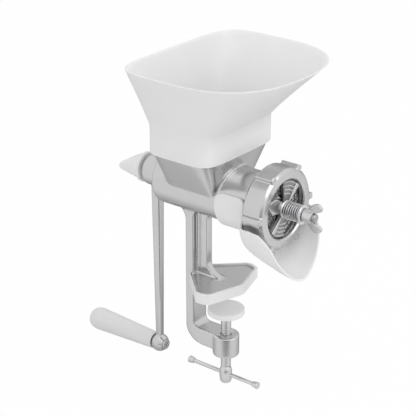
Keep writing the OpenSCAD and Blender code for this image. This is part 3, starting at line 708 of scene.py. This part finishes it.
class MILL_OT_hopper(Operator):
    """Plastic hopper: an upright neck with a ledge inside, and a flare up to its rim"""

    bl_idname = "mill.hopper"
    bl_label = "Hopper"

    def execute(self, context):
        s = context.scene.mill_hopper
        bottom = low("hopper")
        top = high("hopper")
        flare_foot = bottom.z + s.neck_height
        flare_height = top.z - flare_foot
        heights = [flare_foot + flare_height * i / s.flares for i in range(s.flares + 1)]
        ledge_low = bottom.z + s.ledge_height
        ledge_top = ledge_low + s.wall
        outside = [(z, 0) for z in [bottom.z, bottom.z + s.neck_height / 2] + heights]
        inside = [(z, s.wall) for z in heights[::-1] + [ledge_top]]
        ledge = [(ledge_top, s.wall + s.ledge), (ledge_low, s.wall + s.ledge)]
        skirt = [(ledge_low, s.wall), (bottom.z, s.wall)]
        rings = outside + inside + ledge + skirt + outside[:1]

        def place(i, k):
            """Point round a ring of the neck or flare, from the ring's height and inset."""
            height, inset = rings[k]
            turn = 2 * pi * i / s.steps
            half = s.neck_length / 2 - inset
            neck_x, neck_y = oval(turn, half, half, s.neck_width / 2 - inset, s.neck_power, s.neck_power)
            neck_x += s.neck_centre
            rim_x, rim_y = oval(
                turn, -bottom.x - inset, top.x - inset, top.y - inset, s.rear_power, s.front_power
            )
            grow = max(0.0, (height - flare_foot) / flare_height) ** s.flare_power
            return Vector((mix(neck_x, rim_x, grow), mix(neck_y, rim_y, grow), height))

        bm = bmesh.new()
        wrapped(bm, s.steps, len(rings) - 1, place, closed=True)
        soften(bm, s.edge, 3, 50)
        piece_from("hopper_shell", bm, "white_plastic", "hopper", ["hopper"], sharp=50)
        return {"FINISHED"}


def mix(a, b, share):
    """Value at a share of the way from a to b."""
    return a + (b - a) * share


# Shares of the way from the trough's rear to its lip, for the place of its top, the place of its bottom,
# its half width, the height of its top and the height of its bottom.
TROUGH_SHARES = (
    (0.0, 0.0, 0.0, 0.0, 0.0),
    (0.3, 0.2, 0.0, 0.03, 0.36),
    (0.66, 0.46, 0.0, 0.12, 0.64),
    (0.83, 0.72, 0.5, 0.5, 0.86),
    (1.0, 1.0, 1.0, 1.0, 1.0),
)


def trough_stations(s):
    """X at the top and the bottom, half width, top, bottom and squareness of the trough at its stations."""
    clip_bore = 27.8 * MM
    sunk = 0.3 * MM
    overlap = 1.5 * MM
    step = 6.8 * MM
    under = 1.2 * MM
    round_power = 2.0
    lip_power = 1.65
    axis = BARREL.z
    lip_x = high("chute").x
    lip_z = low("chute").z
    top = axis - s.trough_height
    clip_r = clip_bore + s.clip_wall
    half = (s.room**2 - s.trough_height**2) ** 0.5 + s.wall
    bottom = axis - s.room - s.wall - under
    rear = s.clip_front + step
    start = s.clip_front - overlap
    rows = [
        (start, start, clip_r - sunk, top + 2 * MM, axis - clip_r + sunk, round_power),
        (
            s.clip_front + 2.5 * MM, s.clip_front + 3 * MM, mix(clip_r, half, 0.58),
            top + 1 * MM, mix(axis - clip_r, bottom, 0.6), round_power,
        ),
    ]
    for at_top, at_bottom, wide, rise, fall in TROUGH_SHARES:
        rows.append((
            mix(rear, lip_x - s.lip_lean, at_top),
            mix(rear + 1 * MM, lip_x, at_bottom),
            mix(half, s.lip_half, wide),
            mix(top, lip_z + s.lip_height, rise),
            mix(bottom, lip_z, fall),
            mix(round_power, lip_power, at_top),
        ))
    return rows


def station_at(rows, place):
    """Values on a smooth curve through the rows, at a place counted in rows."""
    i = min(int(place), len(rows) - 2)
    u = place - i
    before, start, end, after = (rows[min(max(i + k, 0), len(rows) - 1)] for k in (-1, 0, 1, 2))
    return [
        0.5 * (2 * b + (c - a) * u + (2 * a - 5 * b + 4 * c - d) * u**2 + (3 * b - a - 3 * c + d) * u**3)
        for a, b, c, d in zip(before, start, end, after)
    ]


def trough_shell(s):
    """Object of the trough, as thick as its wall."""
    rows = trough_stations(s)
    around = 64
    along = 60
    stations = [station_at(rows, (len(rows) - 1) * k / along) for k in range(along + 1)]

    def place(i, k):
        """Point of the trough's skin, from one top edge round the bottom to the other."""
        x_top, x_low, half, top, bottom, square = stations[k]
        turn = pi * i / around
        y = -half * squared(cos(turn), square)
        return Vector((mix(x_top, x_low, sin(turn)), y, mix(top, bottom, squared(sin(turn), square))))

    bm = bmesh.new()
    wrapped(bm, around, along, place, closed=False)
    if max(bm.faces, key=lambda face: face.calc_center_median().x).normal.z > 0:
        bmesh.ops.reverse_faces(bm, faces=bm.faces[:])
    shell = object_of("trough_shell", bm)
    wall = shell.modifiers.new("Wall", "SOLIDIFY")
    wall.thickness = s.wall
    wall.offset = -1
    bake_modifiers(shell)
    return shell


class MILL_OT_chute(Operator):
    """Chute: a clip round the barrel and a scoop under the ring nut"""

    bl_idname = "mill.chute"
    bl_label = "Chute"

    def execute(self, context):
        s = context.scene.mill_chute
        seam = 0.2 * MM
        shell = trough_shell(s)
        bm = node_copy("chute")
        bmesh.ops.bisect_plane(
            bm, geom=bm.verts[:] + bm.edges[:] + bm.faces[:], dist=1e-7,
            plane_co=ALONG * (s.clip_front + seam), plane_no=ALONG, clear_outer=True,
        )
        close_ends(bm)
        bm.from_mesh(shell.data)
        bpy.data.objects.remove(shell)
        piece = cast("chute_scoop", bm, s.voxel, passes=6)
        dressed(piece, "white_plastic", "chute", ["chute"], sharp=60)
        return {"FINISHED"}


class MILL_OT_ring_nut(Operator):
    """Ring nut with its grip ribs"""

    bl_idname = "mill.ring_nut"
    bl_label = "Ring nut"

    def execute(self, context):
        cast_copy("ring_nut_casting", "ring_nut", "ring_nut", "tinned_casting", voxel=0.6 * MM, passes=4)
        return {"FINISHED"}


def facing(x, turn):
    """Matrix that lays a shape drawn in its own XY across the barrel's axis, turned about it."""
    lay = Matrix(((0, 0, 1, 0), (1, 0, 0, 0), (0, 1, 0, 0), (0, 0, 0, 1)))
    return Matrix.Translation((x, 0, BARREL.z)) @ Matrix.Rotation(turn, 4, "X") @ lay


def polar(radius, turn):
    """Flat point at a radius and a turn."""
    return radius * cos(turn), radius * sin(turn)


def lobe_outline(s, bore, reach):
    """Flat outline of a toothed lobe."""
    parts = 14
    foot = bore + 1 * MM
    rim = [polar(reach, -s.lobe_half + 2 * s.lobe_half * i / parts) for i in range(parts + 1)]
    return [polar(foot, s.lobe_half), polar(foot, -s.lobe_half)] + rim


def edge_outline(bore, reach):
    """Flat outline of the raised edge along a lobe."""
    foot = polar(bore + 1 * MM, 0.1)
    tip = [polar(reach - 0.6 * MM, 0), polar(reach - 0.9 * MM, 0.2)]
    return [foot, *tip, polar(reach * 0.75, 0.22)]


def arm_outline(reach):
    """Flat outline of a plain arm, which is widest before it narrows to its tip."""
    side = [(0, -5 * MM), (reach * 0.62, -7.5 * MM), (reach * 0.9, -3 * MM), (reach, 0)]
    return side + [(x, -y) for x, y in reversed(side[:-1])]


def add_teeth(bm, s, x, turn, reach):
    """Rows of teeth on a lobe, each row set off from the one before."""
    first_row = 1.9 * MM
    row_gap = 3.7 * MM
    tooth_gap = 3.4 * MM
    height = 1.6 * MM
    sunk = 0.3 * MM
    for row in range(4):
        radius = reach - first_row - row_gap * row
        teeth = max(2, int(2 * s.lobe_half * radius / tooth_gap))
        for i in range(teeth):
            share = (i + 0.5 * (row % 2) + 0.9) / (teeth + 1.2)
            across, up = polar(radius, s.lobe_half * (2 * share - 1) + 0.08)
            spot = facing(x + height / 2 - sunk, turn) @ Matrix.Translation((across, up, 0))
            bmesh.ops.create_cone(
                bm, cap_ends=True, segments=10, radius1=s.tooth, radius2=s.tooth / 2,
                depth=height, matrix=spot,
            )


class MILL_OT_burrs(Operator):
    """Fixed burr with its slots, and turning burr with toothed lobes and plain arms"""

    bl_idname = "mill.burrs"
    bl_label = "Burrs"

    def execute(self, context):
        s = context.scene.mill_burrs
        bm = node_copy("fixed_burr")
        bmesh.ops.dissolve_limit(bm, angle_limit=radians(1), verts=bm.verts[:], edges=bm.edges[:])
        soften(bm, 0.25 * MM, 2, 40)
        piece_from("fixed_burr_disc", bm, "burr_iron", "mill_frame", ["fixed_burr"], sharp=40)

        rear = low("rotating_burr").x
        front = high("rotating_burr").x
        reach = (high("rotating_burr").z - low("rotating_burr").z) / 2 + 0.9 * MM
        bore = 4.3 * MM
        chamfer = 1 * MM
        edge_high = s.lobe + s.edge
        arm_high = s.lobe + 1 * MM
        lobes = bmesh.new()
        arms = bmesh.new()
        hub = [(rear, bore), (rear, s.hub), (front - chamfer, s.hub), (front, s.hub - chamfer), (front, bore)]
        turned(arms, hub, BARREL)
        for turn in (s.lobe_angle, s.lobe_angle + pi):
            plate(lobes, lobe_outline(s, bore, reach), facing(rear + s.lobe / 2, turn), s.lobe, 0.5 * MM)
            beside = facing(rear + edge_high / 2, turn - s.lobe_half)
            plate(arms, edge_outline(bore, reach), beside, edge_high, 0.5 * MM)
            between = facing(rear + arm_high / 2, turn + pi / 2)
            plate(arms, arm_outline(reach), between, arm_high, 1.2 * MM)
            add_teeth(arms, s, rear + s.lobe, turn, reach)
        piece_from("turning_burr_lobes", lobes, "burr_iron", "turning_burr", ["rotating_burr"], sharp=40)
        piece_from("turning_burr_arms", arms, "burr_arms", "turning_burr", [], sharp=40)
        return {"FINISHED"}


class MILL_OT_shaft(Operator):
    """Main shaft, feed screw and the small pieces on them"""

    bl_idname = "mill.shaft"
    bl_label = "Shaft and feed screw"

    def execute(self, context):
        s = context.scene.mill_shaft
        rear = low("feed_screw").x
        front = high("feed_screw").x
        half = s.flight / 2
        foot = s.core - 1 * MM
        bm = bmesh.new()
        turned(bm, [(rear, s.bore), (rear, s.core), (front, s.core), (front, s.bore)], BARREL)
        corners = ((foot, -half), (s.reach, -half), (s.reach, half), (foot, half))
        verts = [bm.verts.new((rear, y, BARREL.z - radius)) for radius, y in corners]
        edges = [bm.edges.new(pair) for pair in zip(verts, verts[1:] + verts[:1])]
        wound(bm, verts, edges, rear, front, (front - rear) / s.pitch, per_turn=48)
        piece_from("feed_screw_casting", bm, "tinned_casting", "rotor", ["feed_screw"])
        flat_finish("main_shaft", "shaft_steel")
        flat_finish("screw_cross_pin", "zinc_steel")
        flat_finish("thrust_washer", "bearing_bronze")
        return {"FINISHED"}


def coil(name, rear, front, radius, wire, turns, start, nodes):
    """Part of the spring between two places along the barrel, wound from a starting turn."""
    bm = bmesh.new()
    spot = Matrix.Translation((rear, 0, BARREL.z)) @ Matrix.Rotation(start, 4, "X")
    spot = spot @ Matrix.Translation((0, radius, 0))
    ring = bmesh.ops.create_circle(bm, segments=12, radius=wire, matrix=spot)["verts"]
    edges = list(dict.fromkeys(edge for vert in ring for edge in vert.link_edges))
    wound(bm, ring, edges, rear, front, turns, per_turn=28)
    return piece_from(name, bm, "spring_steel", "rotor", nodes)


class MILL_OT_adjuster(Operator):
    """Spring, cup and wing nut on the front of the shaft"""

    bl_idname = "mill.adjuster"
    bl_label = "Adjuster"

    def execute(self, context):
        s = context.scene.mill_adjuster
        rear = low("adjusting_spring").x + s.wire
        front = high("adjusting_spring").x - s.wire
        centre = Vector(((rear + front) / 2, 0, BARREL.z))
        radius = high("adjusting_spring").y - s.wire
        turns = s.turns / 2
        behind = coil("adjusting_coil_rear", rear, centre.x, radius, s.wire, turns, 0, ["adjusting_spring"])
        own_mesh(behind)
        ahead = coil("adjusting_coil_front", centre.x, front, radius, s.wire, turns, 2 * pi * turns, [])
        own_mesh(ahead)

        cup_rear = low("spring_cup").x
        cup_front = high("spring_cup").x
        cup_r = high("spring_cup").y
        bm = bmesh.new()
        outline = [
            (cup_rear, s.cup_bore), (cup_rear, cup_r), (cup_rear + s.cup_edge, cup_r),
            (cup_front, cup_r - s.cup_slope), (cup_front, s.cup_bore),
        ]
        turned(bm, outline, BARREL)
        soften(bm, 0.35 * MM)
        piece_from("spring_cup_washer", bm, "zinc_steel", "adjuster", ["spring_cup"])

        cast_copy(
            "wing_nut_casting", "wing_nut", "wing_nut", "wing_steel", voxel=0.3 * MM, passes=5,
        )
        return {"FINISHED"}


class MILL_OT_crank(Operator):
    """Crank, its spindle and washers, and the screw that holds it"""

    bl_idname = "mill.crank"
    bl_label = "Crank"

    def execute(self, context):
        s = context.scene.mill_crank
        cast_copy("crank_casting", "crank_arm", "rotor", "tinned_casting", voxel=s.voxel, passes=s.passes)
        cast_copy(
            "crank_screw_handle", "crank_screw_wing", "crank_screw", "white_plastic",
            voxel=0.6 * MM, passes=12,
        )
        cast_copy(
            "spindle_head", "grip_spindle", "rotor", "wing_steel", voxel=0.3 * MM, passes=2
        )
        for node in ("hub_washer", "grip_washer", "crank_screw_stud"):
            flat_finish(node, "zinc_steel")
        return {"FINISHED"}


class MILL_OT_grip(Operator):
    """Grip that turns on the spindle, and the plug in its end"""

    bl_idname = "mill.grip"
    bl_label = "Grip"

    def execute(self, context):
        s = context.scene.mill_grip
        start = high("handle_grip").x
        end = low("handle_grip").x
        far = high("handle_grip").y
        rim = start + s.cup_depth
        floor = end + s.pocket_depth
        outline = [
            (start, s.bore), (start, s.cup), (rim, s.cup), (rim, s.near - 0.6 * MM),
            (rim - 0.5 * MM, s.near - 0.2 * MM), (start, s.near), (end + 14 * MM, far - 0.2 * MM),
            (end + 10 * MM, far), (end + 6 * MM, far - 0.5 * MM), (end + 3 * MM, far - 1.6 * MM),
            (end + 1 * MM, far - 3.2 * MM), (end, far - 5 * MM), (end, s.pocket), (floor, s.pocket),
            (floor, s.bore),
        ]
        bm = bmesh.new()
        turned(bm, outline, HANDLE, steps=64)
        soften(bm, 0.3 * MM, 2, 40)
        piece_from("grip_barrel", bm, "grip_plastic", "grip", ["handle_grip"], sharp=40)
        flat_finish("grip_plug", "grip_plastic")
        return {"FINISHED"}


def threaded(bm, foot, top, radius, pitch, depth):
    """Right-hand thread: a row of ridges that climbs by one pitch in a full turn."""
    rows = int((top - foot) / pitch) - 1
    profile = ((0.0, depth), (0.3, 0.0), (0.55, 0.0), (0.85, depth))
    points = [(foot + (row + share) * pitch, radius - cut) for row in range(rows) for share, cut in profile]
    points.append((foot + rows * pitch, radius - depth))
    steps = 48
    verts = [bm.verts.new((r, 0, z)) for z, r in points]
    edges = [bm.edges.new(pair) for pair in zip(verts, verts[1:])]
    bmesh.ops.spin(
        bm, geom=verts + edges, cent=(0, 0, 0), axis=UP, angle=2 * pi, steps=steps, dvec=UP * pitch / steps
    )
    close_up(bm)


class MILL_OT_clamp(Operator):
    """Clamp screw with its thread, head, pad and socket"""

    bl_idname = "mill.clamp"
    bl_label = "Clamp screw"

    def execute(self, context):
        s = context.scene.mill_clamp
        pad_low = low("pad_disc").z
        pad_high = high("pad_disc").z
        pad_r = high("pad_disc").y
        bm = bmesh.new()
        turned(bm, [(pad_high, 0), (pad_high, pad_r), (pad_low, pad_r), (pad_low, 0)], Vector(), UP, 96)
        soften(bm, s.pad_edge, 4)
        piece_from("pad_button", bm, "white_plastic", "clamp_pad", ["pad_disc"])

        head_r = high("clamp_screw").y
        foot = low("clamp_screw").z
        shoulder = foot + s.head
        hole = foot + s.head / 2
        outline = [
            (foot, 0), (foot, head_r - 2 * MM), (foot + 0.7 * MM, head_r - 1.1 * MM),
            (foot + 2 * MM, head_r - 0.5 * MM), (hole - 3 * MM, head_r), (hole + 3 * MM, head_r),
            (hole + 6 * MM, head_r - 0.5 * MM), (shoulder - 1.4 * MM, head_r - 1.3 * MM),
            (shoulder, head_r - 2 * MM), (shoulder, 0),
        ]
        sunk = 1 * MM
        thread_top = low("pad_socket").z - 0.3 * MM
        tip_low = thread_top - sunk
        tip_high = high("clamp_screw").z
        bm = bmesh.new()
        turned(bm, outline, Vector(), UP, 64)
        threaded(bm, shoulder - sunk, thread_top, s.rod, s.pitch, s.depth)
        turned(bm, [(tip_low, 0), (tip_low, s.tip), (tip_high, s.tip), (tip_high, 0)], Vector(), UP, 48)
        piece_from(
            "clamp_spindle", bm, "upright_steel", "clamp_screw", ["clamp_screw"], sharp=60
        )
        flat_finish("pad_socket", "upright_steel")
        return {"FINISHED"}


class MILL_OT_tommy_bar(Operator):
    """Tommy bar with its end caps"""

    bl_idname = "mill.tommy_bar"
    bl_label = "Tommy bar"

    def execute(self, context):
        centre = middle("bar_caps")
        bar_r = high("tommy_bar").y
        cap_r = high("bar_caps").y
        reach = high("bar_caps").x - centre.x
        inner = high("tommy_bar").x - centre.x
        bm = bmesh.new()
        turned(bm, [(-inner, 0), (-inner, bar_r), (inner, bar_r), (inner, 0)], centre, steps=40)
        piece_from("tommy_rod", bm, "zinc_steel", "tommy_bar", ["tommy_bar"])
        bm = bmesh.new()
        for side in (-1, 1):
            outline = [
                (side * reach, 0), (side * reach, cap_r - 0.3 * MM), (side * (reach - 0.8 * MM), cap_r),
                (side * (reach - 3.5 * MM), cap_r - 0.4 * MM), (side * (reach - 6 * MM), cap_r - 0.9 * MM),
                (side * (reach - 6 * MM), 0),
            ]
            turned(bm, outline, centre, steps=40)
        soften(bm, 0.35 * MM, 3, 30)
        piece_from("bar_end_caps", bm, "zinc_steel", "tommy_bar", ["bar_caps"])
        return {"FINISHED"}


# ---- Stage ----

# Range of the pointing share over which reflections fade to the dark side and to the dark patch.
DARK_SIDE = (0.25, 0.95)
DARK_PATCH = (0.78, 0.96)


def look_matrix(azimuth, elevation, distance, target):
    """Places a camera or lamp on a sphere round its target, looking at it."""
    back = Vector((sin(azimuth) * cos(elevation), -cos(azimuth) * cos(elevation), sin(elevation)))
    right = UP.cross(back).normalized()
    turn = Matrix((right, back.cross(right), back)).transposed().to_4x4()
    return Matrix.Translation(Vector(target) + back * distance) @ turn


def lamp(name, azimuth, elevation, distance, size, watts):
    """Large soft lamp that looks at the middle of the mill."""
    light = bpy.data.lights.new(name, "AREA")
    light.shape = "DISK"
    light.size = size
    light.energy = watts
    place = look_matrix(radians(azimuth), radians(elevation), distance, UP * 0.08)
    new_object(name, light).matrix_world = place


def mixed(tree, share, first, second):
    """Shader that goes from the first to the second by a share."""
    return fed(tree, "ShaderNodeMixShader", {0: share, 1: first, 2: second})[0]


def towards(tree, ray, side):
    """How far a ray points to a side of the room."""
    return fed(tree, "ShaderNodeVectorMath", {0: ray, 1: side}, "DOT_PRODUCT")["Value"]


def room_light(tree, place, s):
    """Light of the room that reflections meet in a direction: it fades to a dark side and a dark patch."""
    ray = fed(tree, "ShaderNodeVectorMath", {0: place}, "NORMALIZE")[0]
    side = spread(tree, towards(tree, ray, s.dark), *DARK_SIDE, s.bright, s.dim)
    patch = spread(tree, towards(tree, ray, s.patch), *DARK_PATCH, 1.0, s.dim)
    return calc(tree, "MULTIPLY", side, patch)


def white_light(tree, kind, strength=1.0):
    """White background or emission shader."""
    return fed(tree, kind, {"Color": (1, 1, 1, 1), "Strength": strength})[0]


def surrounded(tree, kind, place, lit, s, room_share=1.0, white_share=1.0):
    """A lit shader that is mostly replaced by the room in reflections, and by white behind the mill."""
    path = tree.nodes.new("ShaderNodeLightPath").outputs
    glossy = calc(tree, "MAXIMUM", path["Is Glossy Ray"], path["Is Transmission Ray"])
    mirrored = calc(tree, "MULTIPLY", glossy, room_share)
    camera = calc(tree, "MULTIPLY", path["Is Camera Ray"], white_share)
    gloss = mixed(tree, mirrored, lit, white_light(tree, kind, room_light(tree, place, s)))
    return mixed(tree, camera, gloss, white_light(tree, kind))


def white_world(s):
    """Even light from all round, white behind the mill, and a room with a dark side in its reflections."""
    world = bpy.data.worlds.new("Room")
    bpy.context.scene.world = world
    world.use_nodes = True
    tree = world.node_tree
    light = tree.nodes["Background"]
    feed(tree, light, {"Color": (1, 1, 1, 1), "Strength": s.world})
    place = tree.nodes.new("ShaderNodeTexCoord").outputs["Generated"]
    seen = surrounded(tree, "ShaderNodeBackground", place, light.outputs[0], s)
    feed(tree, tree.nodes["World Output"], {"Surface": seen})


def floor_finish(s):
    """Pale floor, shown white except where the mill shades it, and lit like the room in reflections."""
    tree, shader, place = new_finish("pale_floor")
    feed(tree, shader, {"Base Color": (0.8, 0.8, 0.8, 1), "Roughness": 0.9})
    seen = surrounded(
        tree, "ShaderNodeEmission", place, shader.outputs[0], s, room_share=0.85, white_share=0.97
    )
    feed(tree, tree.nodes["Material Output"], {"Surface": seen})
    return FINISHES["pale_floor"]


def add_floor(s):
    """Round floor that isn't part of the mill."""
    bm = bmesh.new()
    bmesh.ops.create_circle(bm, cap_ends=True, segments=96, radius=6.0)
    bmesh.ops.translate(bm, vec=UP * (CAD_BOX[0].z - s.floor_drop), verts=bm.verts[:])
    floor = object_of("floor", bm)
    floor.data.materials.append(floor_finish(s))


def add_camera(s):
    """Camera that looks at the mill."""
    data = bpy.data.cameras.new("camera")
    data.lens = s.lens
    data.sensor_width = 36
    data.clip_start = 0.05
    camera = new_object("camera", data)
    camera.matrix_world = look_matrix(s.azimuth, s.elevation, s.distance, s.target)
    bpy.context.scene.camera = camera


class MILL_OT_stage(Operator):
    """Pale floor, soft lamps, white room and camera"""

    bl_idname = "mill.stage"
    bl_label = "Stage"

    def execute(self, context):
        s = context.scene.mill_stage
        add_floor(s)
        lamp("key_lamp", azimuth=88, elevation=38, distance=1.6, size=1.3, watts=s.key)
        lamp("top_lamp", azimuth=60, elevation=80, distance=1.5, size=1.4, watts=s.top)
        white_world(s)
        add_camera(s)
        context.scene.view_settings.view_transform = "Standard"
        return {"FINISHED"}


# ---- Add-on ----

PIECES = (
    MILL_OT_finishes, MILL_OT_casting, MILL_OT_jaw_shoe, MILL_OT_hopper, MILL_OT_chute, MILL_OT_ring_nut,
    MILL_OT_burrs, MILL_OT_shaft, MILL_OT_adjuster, MILL_OT_crank, MILL_OT_grip, MILL_OT_clamp,
    MILL_OT_tommy_bar, MILL_OT_stage,
)


class MILL_PT_panel(Panel):
    """Lists the mill's pieces"""

    bl_idname = "MILL_PT_panel"
    bl_label = "Table Mill"
    bl_space_type = "VIEW_3D"
    bl_region_type = "UI"
    bl_category = "Table Mill"

    def draw(self, context):
        """Buttons for the pieces, and the settings of each"""
        for operator in PIECES:
            self.layout.operator(operator.bl_idname)
        for name, group in SETTINGS.items():
            box = self.layout.box()
            for label in group.__annotations__:
                box.prop(getattr(context.scene, name), label)


def register():
    """Registers the settings, the pieces and the panel."""
    for name, group in SETTINGS.items():
        bpy.utils.register_class(group)
        setattr(bpy.types.Scene, name, PointerProperty(type=group))
    for operator in PIECES:
        bpy.utils.register_class(operator)
    bpy.utils.register_class(MILL_PT_panel)


def unregister():
    """Takes the panel, the pieces and the settings out again."""
    bpy.utils.unregister_class(MILL_PT_panel)
    for operator in reversed(PIECES):
        bpy.utils.unregister_class(operator)
    for name, group in SETTINGS.items():
        delattr(bpy.types.Scene, name)
        bpy.utils.unregister_class(group)


def main():
    """Builds every piece and the stage."""
    register()
    for operator in PIECES:
        getattr(bpy.ops.mill, operator.bl_idname.split(".")[1])()
    bpy.context.view_layer.update()


if __name__ == "__main__":
    main()
